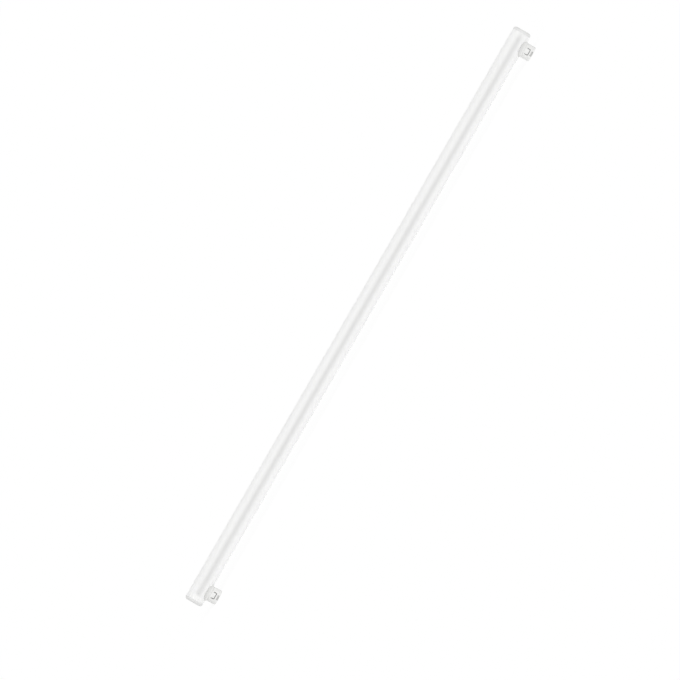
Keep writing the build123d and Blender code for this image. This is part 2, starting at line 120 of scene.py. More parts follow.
class LampTubeSettings(PropertyGroup):
    """The opal tube."""

    wall: FloatProperty(
        name="Wall", description="Thickness of the opal wall", default=1.2 * MM, unit="LENGTH"
    )
    edge_break: FloatProperty(
        name="Edge break",
        description="Chamfer where the tube and a cap meet",
        default=0.2 * MM,
        unit="LENGTH",
    )
    rail_thickness: FloatProperty(
        name="Rail", description="Thickness of an inner rail", default=1.2 * MM, unit="LENGTH"
    )
    rail_grip: FloatProperty(
        name="Rail grip",
        description="How far a rail reaches over the carrier strip",
        default=1.3 * MM,
        unit="LENGTH",
    )
    strip_thickness: FloatProperty(
        name="Strip", description="Thickness of the carrier strip", default=1.5 * MM, unit="LENGTH"
    )
    strip_clearance: FloatProperty(
        name="Strip clearance",
        description="Gap between the strip and a rail",
        default=0.1 * MM,
        unit="LENGTH",
    )
    steps: IntProperty(name="Round steps", description="Facets round the tube", default=160, min=32)
    colour: FloatVectorProperty(
        name="Colour",
        description="Colour of the opal plastic",
        subtype="COLOR",
        min=0.0,
        max=1.0,
        default=(0.92, 0.92, 0.915),
    )
    # Painted shade: the band settings darken the opal's colour in a band along each flank, about the
    # carrier strip.
    painted_shade_depth: FloatProperty(
        name="Band depth",
        description="How much the carrier strip darkens the opal wall where it shows through",
        subtype="FACTOR",
        min=0.0,
        max=1.0,
        default=0.205,
    )
    band_reach: FloatProperty(
        name="Band reach",
        description="How far above and below the strip its soft band goes",
        default=8.4 * MM,
        unit="LENGTH",
    )
    band_fade: FloatProperty(
        name="Band fade",
        description="Length over which the band fades out on the left, about the strip's end",
        default=8.0 * MM,
        unit="LENGTH",
    )
    band_run_out: FloatProperty(
        name="Band run-out",
        description="Length over which the band fades out on the right",
        default=19.0 * MM,
        unit="LENGTH",
    )
    roughness: FloatProperty(
        name="Roughness",
        description="Mean roughness of the satin surface",
        subtype="FACTOR",
        min=0.0,
        max=1.0,
        default=0.34,
    )


class LampCapSettings(PropertyGroup):
    """The two end caps."""

    edge_radius: FloatProperty(
        name="Edge radius", description="Round of the cap's end", default=4.0 * MM, unit="LENGTH"
    )
    end_wall: FloatProperty(
        name="End wall", description="Thickness of the end", default=2.0 * MM, unit="LENGTH"
    )
    spigot_length: FloatProperty(
        name="Spigot length",
        description="How far the spigot goes into the tube",
        default=8.0 * MM,
        unit="LENGTH",
    )
    spigot_wall: FloatProperty(
        name="Spigot wall", description="Thickness of the spigot", default=1.4 * MM, unit="LENGTH"
    )
    spigot_clearance: FloatProperty(
        name="Spigot clearance",
        description="Gap between the spigot and the tube's bore",
        default=0.1 * MM,
        unit="LENGTH",
    )
    fork_width: FloatProperty(
        name="Fork width",
        description="Width of the fork that locks the peg",
        default=19.0 * MM,
        unit="LENGTH",
    )
    fork_clearance: FloatProperty(
        name="Fork clearance",
        description="Gap between the fork and the peg's neck",
        default=0.2 * MM,
        unit="LENGTH",
    )
    colour: FloatVectorProperty(
        name="Colour",
        description="Colour of the moulded cap",
        subtype="COLOR",
        min=0.0,
        max=1.0,
        default=(0.78, 0.78, 0.775),
    )
    roughness: FloatProperty(
        name="Roughness",
        description="Mean roughness of the moulded cap",
        subtype="FACTOR",
        min=0.0,
        max=1.0,
        default=0.55,
    )


class LampPegSettings(PropertyGroup):
    """The two pegs, each a saddle and a cup with a contact blade."""

    seam: FloatProperty(
        name="Seam",
        description="Gap between the solids of cup and saddle",
        default=0.1 * MM,
        unit="LENGTH",
    )
    seam_line: FloatProperty(
        name="Seam line",
        description="Gap that is left open where cup and saddle are pressed together",
        default=0.02 * MM,
        unit="LENGTH",
    )
    edge_break: FloatProperty(
        name="Edge break", description="Chamfer at the seam", default=0.03 * MM, unit="LENGTH"
    )
    cup_wall: FloatProperty(
        name="Cup wall", description="Thickness of the cup", default=2.0 * MM, unit="LENGTH"
    )
    cup_end_wall: FloatProperty(
        name="Cup end", description="Thickness of the cup's end", default=0.8 * MM, unit="LENGTH"
    )
    cup_edge_radius: FloatProperty(
        name="Cup edge", description="Round of the cup's end", default=0.6 * MM, unit="LENGTH"
    )
    collar_corner: FloatProperty(
        name="Collar corner",
        description="Radius of the collar's four corners",
        default=9.0 * MM,
        unit="LENGTH",
    )
    collar_edge: FloatProperty(
        name="Collar edge", description="Round of the collar's rims", default=0.8 * MM, unit="LENGTH"
    )
    collar_foot: FloatProperty(
        name="Collar foot",
        description="Height of the round foot under the collar",
        default=1.0 * MM,
        unit="LENGTH",
    )
    collar_rise: FloatProperty(
        name="Collar rise",
        description="How far the collar climbs the tube's flank",
        default=5.6 * MM,
        unit="LENGTH",
    )
    seat_gap: FloatProperty(
        name="Seat gap", description="Gap between saddle and tube", default=0.1 * MM, unit="LENGTH"
    )
    neck_radius: FloatProperty(
        name="Neck radius",
        description="Radius of the neck in the tube",
        default=7.5 * MM,
        unit="LENGTH",
    )
    waist_radius: FloatProperty(
        name="Waist radius",
        description="Radius of the neck's groove",
        default=6.0 * MM,
        unit="LENGTH",
    )
    head_height: FloatProperty(
        name="Neck head", description="Height above the groove", default=1.9 * MM, unit="LENGTH"
    )
    neck_bore: FloatProperty(
        name="Neck bore", description="Radius of the neck's bore", default=3.5 * MM, unit="LENGTH"
    )
    neck_floor: FloatProperty(
        name="Neck floor",
        description="Thickness that holds the contact blade",
        default=2.0 * MM,
        unit="LENGTH",
    )
    spigot_length: FloatProperty(
        name="Spigot length",
        description="How far the saddle goes into the cup",
        default=2.0 * MM,
        unit="LENGTH",
    )
    spigot_wall: FloatProperty(
        name="Spigot wall", description="Thickness of that spigot", default=1.5 * MM, unit="LENGTH"
    )
    spigot_clearance: FloatProperty(
        name="Spigot clearance",
        description="Gap between spigot and cup",
        default=0.1 * MM,
        unit="LENGTH",
    )
    snap_width: FloatProperty(
        name="Snap width", description="Width of a snap tongue", default=8.6 * MM, unit="LENGTH"
    )
    snap_length: FloatProperty(
        name="Snap length", description="Length of a snap tongue", default=4.6 * MM, unit="LENGTH"
    )
    snap_slot: FloatProperty(
        name="Snap slot",
        description="Width of the slot round a tongue",
        default=1.1 * MM,
        unit="LENGTH",
    )
    snap_corner: FloatProperty(
        name="Snap corner",
        description="Radius of the slot's corners",
        default=1.6 * MM,
        unit="LENGTH",
    )
    snap_root: FloatProperty(
        name="Snap root",
        description="Margin between spigot and tongue",
        default=0.4 * MM,
        unit="LENGTH",
    )
    window_width: FloatProperty(
        name="Window width",
        description="Width of a contact window",
        default=7.3 * MM,
        unit="LENGTH",
    )
    window_height: FloatProperty(
        name="Window height",
        description="Height of a contact window",
        default=2.9 * MM,
        unit="LENGTH",
    )
    mouth_length: FloatProperty(
        name="Mouth length",
        description="Length of the mouth in the end",
        default=13.0 * MM,
        unit="LENGTH",
    )
    mouth_width: FloatProperty(
        name="Mouth width",
        description="Width of the mouth in the end",
        default=5.4 * MM,
        unit="LENGTH",
    )
    tail_width: FloatProperty(
        name="Tail slot width",
        description="Width of the slot for the blade's tail",
        default=4.2 * MM,
        unit="LENGTH",
    )
    tail_thickness: FloatProperty(
        name="Tail slot thickness",
        description="Thickness of the slot for the blade's tail",
        default=1.2 * MM,
        unit="LENGTH",
    )
    steps: IntProperty(name="Round steps", description="Facets round a peg", default=128, min=32)
    colour: FloatVectorProperty(
        name="Colour",
        description="Colour of the moulded cups",
        subtype="COLOR",
        min=0.0,
        max=1.0,
        default=(0.85, 0.85, 0.84),
    )
    # Painted shade: the saddles' darker colour and its fade stand in for the shade under the tube at the
    # pegs' roots.
    saddle_shaded_colour: FloatVectorProperty(
        name="Saddle colour",
        description="Colour of the moulded saddles",
        subtype="COLOR",
        min=0.0,
        max=1.0,
        default=(0.7, 0.7, 0.69),
    )
    pale_reach: FloatProperty(
        name="Pale reach",
        description="Height above its foot over which a saddle pales to the cups' colour",
        default=5.5 * MM,
        unit="LENGTH",
    )
    roughness: FloatProperty(
        name="Roughness",
        description="Mean roughness of the moulded pegs",
        subtype="FACTOR",
        min=0.0,
        max=1.0,
        default=0.5,
    )
    plating: FloatVectorProperty(
        name="Plating",
        description="Colour of the plated contact blades",
        subtype="COLOR",
        min=0.0,
        max=1.0,
        default=(0.58, 0.58, 0.57),
    )


class LampStageSettings(PropertyGroup):
    """Floor, light and camera."""

    floor_size: FloatProperty(
        name="Floor", description="Side of the floor", default=60.0, unit="LENGTH"
    )
    floor_glow: FloatProperty(
        name="Floor glow", description="Light that comes through the floor", default=0.8, min=0.0
    )
    floor_white: FloatProperty(
        name="Floor white", description="Glow of the floor where it is seen", default=0.835, min=0.0
    )
    floor_shade: FloatProperty(
        name="Floor shade",
        description="Share of the light that the floor returns",
        subtype="FACTOR",
        min=0.0,
        max=1.0,
        default=0.2,
    )
    sky_open: FloatProperty(
        name="Open sky", description="Sky strength straight up", default=0.99, min=0.0
    )
    sky_front: FloatProperty(
        name="Front light", description="What the sky gains towards the front", default=0.25, min=0.0
    )
    sky_ends: FloatProperty(
        name="End shade", description="What the sky loses towards the lamp's ends", default=0.85, min=0.0
    )
    sky_right: FloatProperty(
        name="Right light", description="What the sky gains towards the lamp's right end", default=0.08
    )
    key_strength: FloatProperty(
        name="Key light", description="Strength of the soft key light", default=0.3, min=0.0
    )
    key_softness: FloatProperty(
        name="Key softness",
        description="Angle that the key light spans",
        default=math.radians(40),
        subtype="ANGLE",
        unit="ROTATION",
    )
    key_from: FloatVectorProperty(
        name="Key from",
        description="Direction that the key light comes from",
        subtype="DIRECTION",
        default=(0.15, -0.82, 0.55),
    )
    lens: FloatProperty(
        name="Lens", description="Focal length in millimetres", default=500.0, unit="CAMERA"
    )
    elevation: FloatProperty(
        name="Elevation",
        description="Height of the camera above the floor, as an angle",
        default=math.radians(6),
        subtype="ANGLE",
        unit="ROTATION",
    )
    lean: FloatProperty(
        name="Lean",
        description="Angle of the tube in the picture, from level",
        default=math.radians(60.02),
        subtype="ANGLE",
        unit="ROTATION",
    )
    picture_side: IntProperty(
        name="Picture", description="Side of the picture in pixels", default=680, subtype="PIXEL"
    )
    tube_pixels: FloatProperty(
        name="Lamp length",
        description="Length of the lamp in the picture, in pixels",
        default=660.5,
        subtype="PIXEL",
    )
    tube_middle: FloatVectorProperty(
        name="Lamp middle",
        description="Middle of the tube's axis in the picture, in pixels from its top left",
        subtype="COORDINATES",
        size=2,
        default=(358.0, 316.4),
    )


# Meshes


def linked(name, data):
    """A new object in the scene for this mesh, light or camera."""
    thing = bpy.data.objects.new(name, data)
    bpy.context.scene.collection.objects.link(thing)
    return thing


def solid(name, bm):
    """A new object from a closed bmesh, with its faces turned outwards."""
    bmesh.ops.recalc_face_normals(bm, faces=bm.faces)
    mesh = bpy.data.meshes.new(name)
    bm.to_mesh(mesh)
    bm.free()
    return linked(name, mesh)


def arc(centre, radius, start, end, steps):
    """Points of an arc from one angle to another, in degrees, both ends included."""
    points = []
    for step in range(steps + 1):
        angle = math.radians(start + (end - start) * step / steps)
        points.append((centre[0] + radius * math.cos(angle), centre[1] + radius * math.sin(angle)))
    return points


def rectangle(width, height, centre=(0.0, 0.0)):
    """The four corners of a rectangle round its centre."""
    x, y = centre
    return [
        (x - width / 2, y - height / 2),
        (x + width / 2, y - height / 2),
        (x + width / 2, y + height / 2),
        (x - width / 2, y + height / 2),
    ]


def rounded_square(half_width, corner, steps):
    """The outline of a square with round corners."""
    inset = half_width - corner
    outline = []
    quarters = ((0, inset, inset), (90, -inset, inset), (180, -inset, -inset), (270, inset, -inset))
    for start, x, y in quarters:
        outline += arc((x, y), corner, start, start + 90, steps)
    return outline


def turned(name, section, steps, place):
    """A solid turned from a section of (radius, height) points about the place's Z axis."""
    bm = bmesh.new()
    rings = []
    for radius, height in section:
        count = steps if radius > 0 else 1
        ring = []
        for step in range(count):
            angle = 2 * math.pi * step / steps
            spot = Vector((radius * math.cos(angle), radius * math.sin(angle), height))
            ring.append(bm.verts.new(place @ spot))
        rings.append(ring)
    for ring, following in zip(rings, rings[1:] + rings[:1]):
        both_on_axis = len(ring) + len(following) == 2
        if both_on_axis:
            continue
        for step in range(steps):
            corners = [
                ring[step % len(ring)],
                ring[(step + 1) % len(ring)],
                following[(step + 1) % len(following)],
                following[step % len(following)],
            ]
            bm.faces.new(list(dict.fromkeys(corners)))
    return solid(name, bm)


def stacked(name, outlines, heights, place):
    """A solid whose skin runs through outlines with equal numbers of points, one at each height."""
    bm = bmesh.new()
    rings = []
    for outline, height in zip(outlines, heights):
        rings.append([bm.verts.new(place @ Vector((x, y, height))) for x, y in outline])
    bm.faces.new(rings[0])
    bm.faces.new(rings[-1])
    for ring, following in zip(rings, rings[1:]):
        for index in range(len(ring)):
            after = (index + 1) % len(ring)
            bm.faces.new([ring[index], ring[after], following[after], following[index]])
    return solid(name, bm)


def prism(name, outline, low, high, place):
    """An outline in the place's XY plane, drawn out along its Z axis from low to high."""
    return stacked(name, [outline, outline], [low, high], place)


def work(body, tool, operation):
    """Cuts, joins or trims a body with a tool, which is used up."""
    modifier = body.modifiers.new("work", "BOOLEAN")
    modifier.solver = "EXACT"
    modifier.operation = operation
    modifier.object = tool
    depsgraph = bpy.context.evaluated_depsgraph_get()
    worked = bpy.data.meshes.new_from_object(body.evaluated_get(depsgraph))
    before = body.data
    body.modifiers.clear()
    body.data = worked
    bpy.data.meshes.remove(before)
    bpy.data.meshes.remove(tool.data)
    if not body.data.polygons:
        raise RuntimeError(f"{body.name} has no faces left")


def cut(body, tool):
    """Takes a tool's form out of a body."""
    work(body, tool, "DIFFERENCE")


def join(body, tool):
    """Makes a body and a tool one solid."""
    work(body, tool, "UNION")


def trim(body, tool):
    """Keeps only what a body and a tool share."""
    work(body, tool, "INTERSECT")


def dress(piece, node, material):
    """Welds and smooths a finished piece, and lets it stand for its solid."""
    bm = bmesh.new()
    bm.from_mesh(piece.data)
    bmesh.ops.remove_doubles(bm, verts=bm.verts, dist=WELD_DISTANCE)
    bm.to_mesh(piece.data)
    bm.free()
    piece.data.materials.clear()
    piece.data.materials.append(material)
    piece.data.shade_smooth()
    piece.data.set_sharp_from_angle(angle=SHARP_ANGLE)
    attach(piece, "root")
    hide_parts(node)


def along_tube(side, x):
    """A place on the tube's axis whose Z axis points outwards, to the lamp's left or right."""
    turn = Matrix(((0, 0, side), (side, 0, 0), (0, 1, 0))).to_4x4()
    return Matrix.Translation((x, 0, AXIS_Z)) @ turn


def under_peg(side):
    """A place at the middle of a peg's end whose Z axis points up."""
    return Matrix.Translation((side * PEG_X, 0, 0))


def across_peg(side):
    """A place at the middle of a peg's end with Y up, for what is cut through its flanks."""
    turn = Matrix(((1, 0, 0), (0, 0, -1), (0, 1, 0))).to_4x4()
    return Matrix.Translation((side * PEG_X, 0, 0)) @ turn


def saddle_foot(peg):
    """Height of the saddles' lower face."""
    return CUP_TOP + peg.seam


def fork_radius(scene):
    """Outer radius of the end caps' spigots and forks."""
    return TUBE_RADIUS - scene.lamp_tube.wall - scene.lamp_cap.spigot_clearance


# Materials


def add_node(tree, kind, values=None, **options):
    """A new node with these options, whose inputs take values or the outputs of other nodes."""
    node = tree.nodes.new(kind)
    for option, value in options.items():
        setattr(node, option, value)
    for socket, value in (values or {}).items():
        if isinstance(value, bpy.types.NodeSocket):
            tree.links.new(value, node.inputs[socket])
        else:
            node.inputs[socket].default_value = value
    return node


def new_finish(name, metallic=0.0, ior=1.5):
    """A material with its node tree and its shader."""
    material = bpy.data.materials.new(name)
    material.use_nodes = True
    tree = material.node_tree
    shader = tree.nodes["Principled BSDF"]
    shader.inputs["Metallic"].default_value = metallic
    shader.inputs["IOR"].default_value = ior
    return material, tree, shader


def axes_of(tree, coordinates):
    """The X, Y and Z of one kind of texture coordinates."""
    place = add_node(tree, "ShaderNodeTexCoord").outputs[coordinates]
    return add_node(tree, "ShaderNodeSeparateXYZ", {"Vector": place}).outputs


def reckoned(tree, operation, *terms):
    """What an operation makes of its terms, which are numbers or fields."""
    return add_node(tree, "ShaderNodeMath", dict(enumerate(terms)), operation=operation).outputs["Value"]


def noise_field(tree, stretch, scale, detail=4.0):
    """Noise fixed to the object, drawn out along its axes by a stretch."""
    place = add_node(tree, "ShaderNodeTexCoord").outputs["Object"]
    mapping = add_node(tree, "ShaderNodeMapping", {"Vector": place, "Scale": stretch})
    values = {"Vector": mapping.outputs["Vector"], "Scale": scale, "Detail": detail}
    return add_node(tree, "ShaderNodeTexNoise", values).outputs["Fac"]


def faded(tree, distance, near, far):
    """A field that is 1 up to a near distance and falls softly to 0 at a far one."""
    values = {"Value": distance, "From Min": near, "From Max": far, "To Min": 1.0, "To Max": 0.0}
    span = add_node(tree, "ShaderNodeMapRange", values, interpolation_type="SMOOTHSTEP")
    return span.outputs["Result"]


def scaled(colour, share):
    """A colour times a share, with its alpha."""
    return (*[min(1.0, channel * share) for channel in colour], 1.0)


def tint(tree, shader, factor, colour, spread):
    """Lets the colour vary a little, by a share of itself, with a field."""
    values = {"Factor": factor, "A": scaled(colour, 1 - spread), "B": scaled(colour, 1 + spread)}
    mix = add_node(tree, "ShaderNodeMix", values, data_type="RGBA")
    tree.links.new(mix.outputs["Result"], shader.inputs["Base Color"])


def cover(tree, shader, factor, colour):
    """Lays another colour over the shader's own, as strongly as a field says."""
    own = shader.inputs["Base Color"].links[0].from_socket
    mix = add_node(tree, "ShaderNodeMix", {"Factor": factor, "A": own, "B": colour}, data_type="RGBA")
    tree.links.new(mix.outputs["Result"], shader.inputs["Base Color"])


def vary_roughness(tree, shader, factor, roughness, spread):
    """Lets the roughness vary about its mean with a field."""
    values = {"Value": factor, "To Min": roughness - spread, "To Max": roughness + spread}
    span = add_node(tree, "ShaderNodeMapRange", values)
    tree.links.new(span.outputs["Result"], shader.inputs["Roughness"])


def emboss(tree, shader, factor, height):
    """A bump of this height, in metres, from a field."""
    bump = add_node(tree, "ShaderNodeBump", {"Height": factor, "Strength": 1.0, "Distance": height})
    tree.links.new(bump.outputs["Normal"], shader.inputs["Normal"])


def painted_band_shade(tree, settings):
    """A field for painted shade: 1 in a band about the carrier strip and its boards behind the opal
    wall, fading out past the strip's ends.
    """
    strip_middle = (STRIP_HIGH.z - settings.strip_thickness + LEDS_TOP) / 2
    full = STRIP_HIGH.x - settings.band_fade / 2
    axes = axes_of(tree, "Object")
    height = reckoned(tree, "ABSOLUTE", reckoned(tree, "SUBTRACT", axes["Z"], strip_middle))
    band = faded(tree, height, 0.0, settings.band_reach)
    for near, far in ((-full, -full - settings.band_fade), (full, full + settings.band_run_out)):
        band = reckoned(tree, "MULTIPLY", band, faded(tree, axes["X"], near, far))
    return band


def opal_finish(settings):
    """Opal extrusion: satin, with faint die lines, and a painted shade band along each flank about the
    carrier strip.
    """
    material, tree, shader = new_finish("opal_tube", ior=1.58)
    die_lines = noise_field(tree, stretch=(0.004, 1.0, 1.0), scale=1400.0)
    clouds = noise_field(tree, stretch=(0.35, 1.0, 1.0), scale=26.0, detail=2.0)
    tint(tree, shader, clouds, settings.colour, spread=0.012)
    # Painted shade: the opal's colour is darkened in the band about the carrier strip.
    cover(tree, shader, painted_band_shade(tree, settings), scaled(settings.colour, 1 - settings.painted_shade_depth))
    vary_roughness(tree, shader, die_lines, settings.roughness, spread=0.05)
    emboss(tree, shader, die_lines, height=0.004 * MM)
    shader.inputs["Subsurface Weight"].default_value = 0.25
    shader.inputs["Subsurface Radius"].default_value = (1.0, 1.0, 0.95)
    shader.inputs["Subsurface Scale"].default_value = 1.5 * MM
    return material


def moulded_finish(name, colour, roughness, grain_height):
    """Moulded plastic: a fine spark-eroded grain over faint flow clouds."""
    material, tree, shader = new_finish(name, ior=1.53)
    grain = noise_field(tree, EVEN, scale=5200.0, detail=2.0)
    clouds = noise_field(tree, EVEN, scale=120.0, detail=3.0)
    tint(tree, shader, clouds, colour, spread=0.014)
    vary_roughness(tree, shader, grain, roughness, spread=0.06)
    emboss(tree, shader, grain, grain_height)
    return material


def saddle_finish(settings):
    """The moulded plastic of the saddles, with painted shade: darker up towards the tube, paling to the
    cups' colour near the foot.
    """
    material = moulded_finish("saddle_plastic", settings.saddle_shaded_colour, settings.roughness, PEG_GRAIN)
    tree = material.node_tree
    foot = saddle_foot(settings)
    # Painted shade: darker up towards the tube, paling to the cups' colour over the reach above the
    # foot.
    pale = faded(tree, axes_of(tree, "Object")["Z"], foot, foot + settings.pale_reach)
    cover(tree, tree.nodes["Principled BSDF"], pale, scaled(settings.colour, 1.0))
    return material


# Looks of what is inside the lamp, by slot
MetalLook = namedtuple("MetalLook", "colour roughness stretch line_scale line_height")
CoatLook = namedtuple(
    "CoatLook", "colour roughness spread grain_scale grain_height stretch", defaults=[EVEN]
)

METALS = {
    "strip_aluminium": MetalLook((0.78, 0.79, 0.8), 0.36, ALONG_TUBE, 2400.0, 0.003 * MM),
    "rivet_aluminium": MetalLook((0.75, 0.76, 0.77), 0.42, EVEN, 1800.0, 0.006 * MM),
    "tinned_metal": MetalLook((0.72, 0.72, 0.7), 0.3, EVEN, 900.0, 0.01 * MM),
}
COATS = {
    "board_white": CoatLook((0.88, 0.89, 0.88), 0.4, 0.02, 1500.0, 0.004 * MM),
    "led_resin": CoatLook((0.9, 0.74, 0.3), 0.25, 0.05, 2000.0, 0.01 * MM),
    "board_green": CoatLook((0.1, 0.33, 0.18), 0.38, 0.1, 900.0, 0.01 * MM),
    "foam_white": CoatLook((0.8, 0.8, 0.78), 0.9, 0.06, 2600.0, 0.08 * MM),
    "chip_black": CoatLook((0.04, 0.04, 0.045), 0.6, 0.2, 4200.0, 0.01 * MM),
    "can_sleeve": CoatLook((0.05, 0.06, 0.09), 0.28, 0.12, 300.0, 0.02 * MM),
    "choke_ferrite": CoatLook((0.14, 0.13, 0.13), 0.55, 0.2, 2200.0, 0.02 * MM),
    "film_red": CoatLook((0.5, 0.1, 0.07), 0.22, 0.1, 400.0, 0.03 * MM),
    "fuse_grey": CoatLook((0.55, 0.62, 0.66), 0.3, 0.08, 700.0, 0.01 * MM),
    "lead_brown": CoatLook((0.33, 0.19, 0.1), 0.45, 0.06, 800.0, 0.01 * MM, ALONG_TUBE),
    "lead_blue": CoatLook((0.1, 0.24, 0.55), 0.45, 0.06, 800.0, 0.01 * MM, ALONG_TUBE),
}


def metal_finish(name, look):
    """Drawn, rolled or stamped metal with lines along one way and faint stains."""
    material, tree, shader = new_finish(name, metallic=1.0)
    lines = noise_field(tree, look.stretch, look.line_scale)
    stains = noise_field(tree, EVEN, scale=240.0)
    tint(tree, shader, stains, look.colour, spread=0.08)
    vary_roughness(tree, shader, lines, look.roughness, spread=0.08)
    emboss(tree, shader, lines, look.line_height)
    return material


def coated_finish(name, look):
    """Resin, lacquer, foam or insulation: a tinted coat with its own grain."""
    material, tree, shader = new_finish(name)
    grain = noise_field(tree, look.stretch, look.grain_scale)
    tint(tree, shader, grain, look.colour, look.spread)
    vary_roughness(tree, shader, grain, look.roughness, spread=0.06)
    emboss(tree, shader, grain, look.grain_height)
    return material


# Pieces


def bore_outline(settings):
    """The tube's inside: a round bore with two rails on each side that hold the carrier strip."""
    bore = TUBE_RADIUS - settings.wall
    rail_tip = STRIP_HIGH.y - settings.rail_grip
    strip_top = STRIP_HIGH.z - AXIS_Z
    strip_bottom = strip_top - settings.strip_thickness
    lower_rail_top = strip_bottom - settings.strip_clearance
    upper_rail_foot = strip_top + settings.strip_clearance
    rails = [
        (lower_rail_top - settings.rail_thickness, lower_rail_top),
        (upper_rail_foot, upper_rail_foot + settings.rail_thickness),
    ]
    half = []
    angle = -90.0
    for foot, top in rails + [(bore, bore)]:
        reached = math.degrees(math.asin(foot / bore))
        steps = max(2, round(settings.steps * (reached - angle) / 360))
        half += arc((0.0, 0.0), bore, angle, reached, steps)
        if foot < bore:
            half += [(rail_tip, foot), (rail_tip, top)]
            angle = math.degrees(math.asin(top / bore))
    return half + [(-x, z) for x, z in reversed(half[1:-1])]


class LAMP_OT_diffuser_tube(Operator):
    """Build the opal tube with its inner rails and the holes for the pegs"""

    bl_idname = "lamp.diffuser_tube"
    bl_label = "Diffuser tube"

    neck_clearance: FloatProperty(
        name="Neck clearance",
        description="Gap between a neck and its hole",
        default=0.2 * MM,
        unit="LENGTH",
    )

    def execute(self, context):
        settings = context.scene.lamp_tube
        hole_radius = context.scene.lamp_peg.neck_radius + self.neck_clearance
        hole_reach = PEG_RADIUS + CUT_OVERRUN
        chamfer = settings.edge_break
        stations = [-TUBE_END + chamfer]
        for side in ENDS.values():
            stations += [side * PEG_X - hole_reach, side * PEG_X + hole_reach]
        stations.append(TUBE_END - chamfer)
        section = [(0.0, -TUBE_END), (TUBE_RADIUS - chamfer, -TUBE_END)]
        section += [(TUBE_RADIUS, x) for x in stations]
        section += [(TUBE_RADIUS - chamfer, TUBE_END), (0.0, TUBE_END)]
        place = along_tube(1, 0.0)
        tube = turned("opal_diffuser", section, settings.steps, place)
        reach = TUBE_END + CUT_OVERRUN
        cut(tube, prism("bore", bore_outline(settings), -reach, reach, place))
        for side in ENDS.values():
            hole = [(0.0, 0.0), (hole_radius, 0.0), (hole_radius, AXIS_Z), (0.0, AXIS_Z)]
            cut(tube, turned("peg_hole", hole, settings.steps, under_peg(side)))
        dress(tube, "diffuser_tube", opal_finish(settings))
        return {"FINISHED"}


class LAMP_OT_end_caps(Operator):
    """Build both end caps, each with its spigot and the fork that locks a peg"""

    bl_idname = "lamp.end_caps"
    bl_label = "End caps"

    def execute(self, context):
        settings = context.scene.lamp_cap
        finish = moulded_finish("cap_plastic", settings.colour, settings.roughness, CAP_GRAIN)
        for end, side in ENDS.items():
            cap = self.shell(context, side)
            join(cap, self.fork(context, side))
            self.clear_neck(context, cap, side)
            self.clear_rails(context, cap, side)
            cap.name = f"cap_{end}"
            dress(cap, f"end_cap_{end}", finish)
        return {"FINISHED"}

    def radii(self, context):
        """Outer and inner radius of the spigot and the fork."""
        outer = fork_radius(context.scene)
        return outer, outer - context.scene.lamp_cap.spigot_wall

    def shell(self, context, side):
        """The round-edged end and its spigot."""
        cap = context.scene.lamp_cap
        tube = context.scene.lamp_tube
        outer, inner = self.radii(context)
        edge = cap.edge_radius
        edge_centre = (TUBE_RADIUS - edge, CAP_LENGTH - edge)
        section = [(0.0, CAP_LENGTH)]
        section += arc(edge_centre, edge, 90, 0, 2 * EDGE_STEPS)
        section += [
            (TUBE_RADIUS, tube.edge_break),
            (TUBE_RADIUS - tube.edge_break, 0.0),
            (outer, 0.0),
            (outer, -cap.spigot_length),
            (inner, -cap.spigot_length),
            (inner, CAP_LENGTH - cap.end_wall),
            (0.0, CAP_LENGTH - cap.end_wall),
        ]
        return turned("shell", section, tube.steps, along_tube(side, side * TUBE_END))

    def fork(self, context, side):
        """The lower part of a ring that reaches past the peg's neck."""
        cap = context.scene.lamp_cap
        outer, inner = self.radii(context)
        place = along_tube(side, side * TUBE_END)
        root = -cap.spigot_length / 2
        section = [(outer, root), (outer, -FORK_LENGTH), (inner, -FORK_LENGTH), (inner, root)]
        fork = turned("fork", section, context.scene.lamp_tube.steps, place)
        kept = rectangle(cap.fork_width, outer, (0.0, -outer))
        trim(fork, prism("kept", kept, -FORK_LENGTH - CUT_OVERRUN, CUT_OVERRUN, place))
        return fork

    def clear_neck(self, context, cap, side):
        """The slot between the fork's arms, closed by a half round at the neck."""
        settings = context.scene.lamp_cap
        half_slot = context.scene.lamp_peg.waist_radius + settings.fork_clearance
        reach = FORK_LENGTH - (TUBE_END - PEG_X) + CUT_OVERRUN
        slot = arc((0.0, 0.0), half_slot, -90, 90, SLOT_STEPS)
        slot += [(-reach, half_slot), (-reach, -half_slot)]
        place = under_peg(side) @ Matrix.Rotation(math.pi if side < 0 else 0.0, 4, "Z")
        cut(cap, prism("slot", slot, 0.0, AXIS_Z, place))

    def clear_rails(self, context, cap, side):
        """The notches in the spigot for the tube's rails."""
        settings = context.scene.lamp_cap
        tube = context.scene.lamp_tube
        gap = settings.fork_clearance
        middle = STRIP_HIGH.z - tube.strip_thickness / 2 - AXIS_Z
        height = tube.strip_thickness + 2 * (tube.strip_clearance + tube.rail_thickness + gap)
        notch_foot = STRIP_HIGH.y - tube.rail_grip - gap
        width = TUBE_RADIUS - notch_foot
        place = along_tube(side, side * TUBE_END)
        for way in (-1, 1):
            notch = rectangle(width, height, (way * (notch_foot + width / 2), middle))
            cut(cap, prism("notch", notch, -settings.spigot_length - CUT_OVERRUN, 0.0, place))


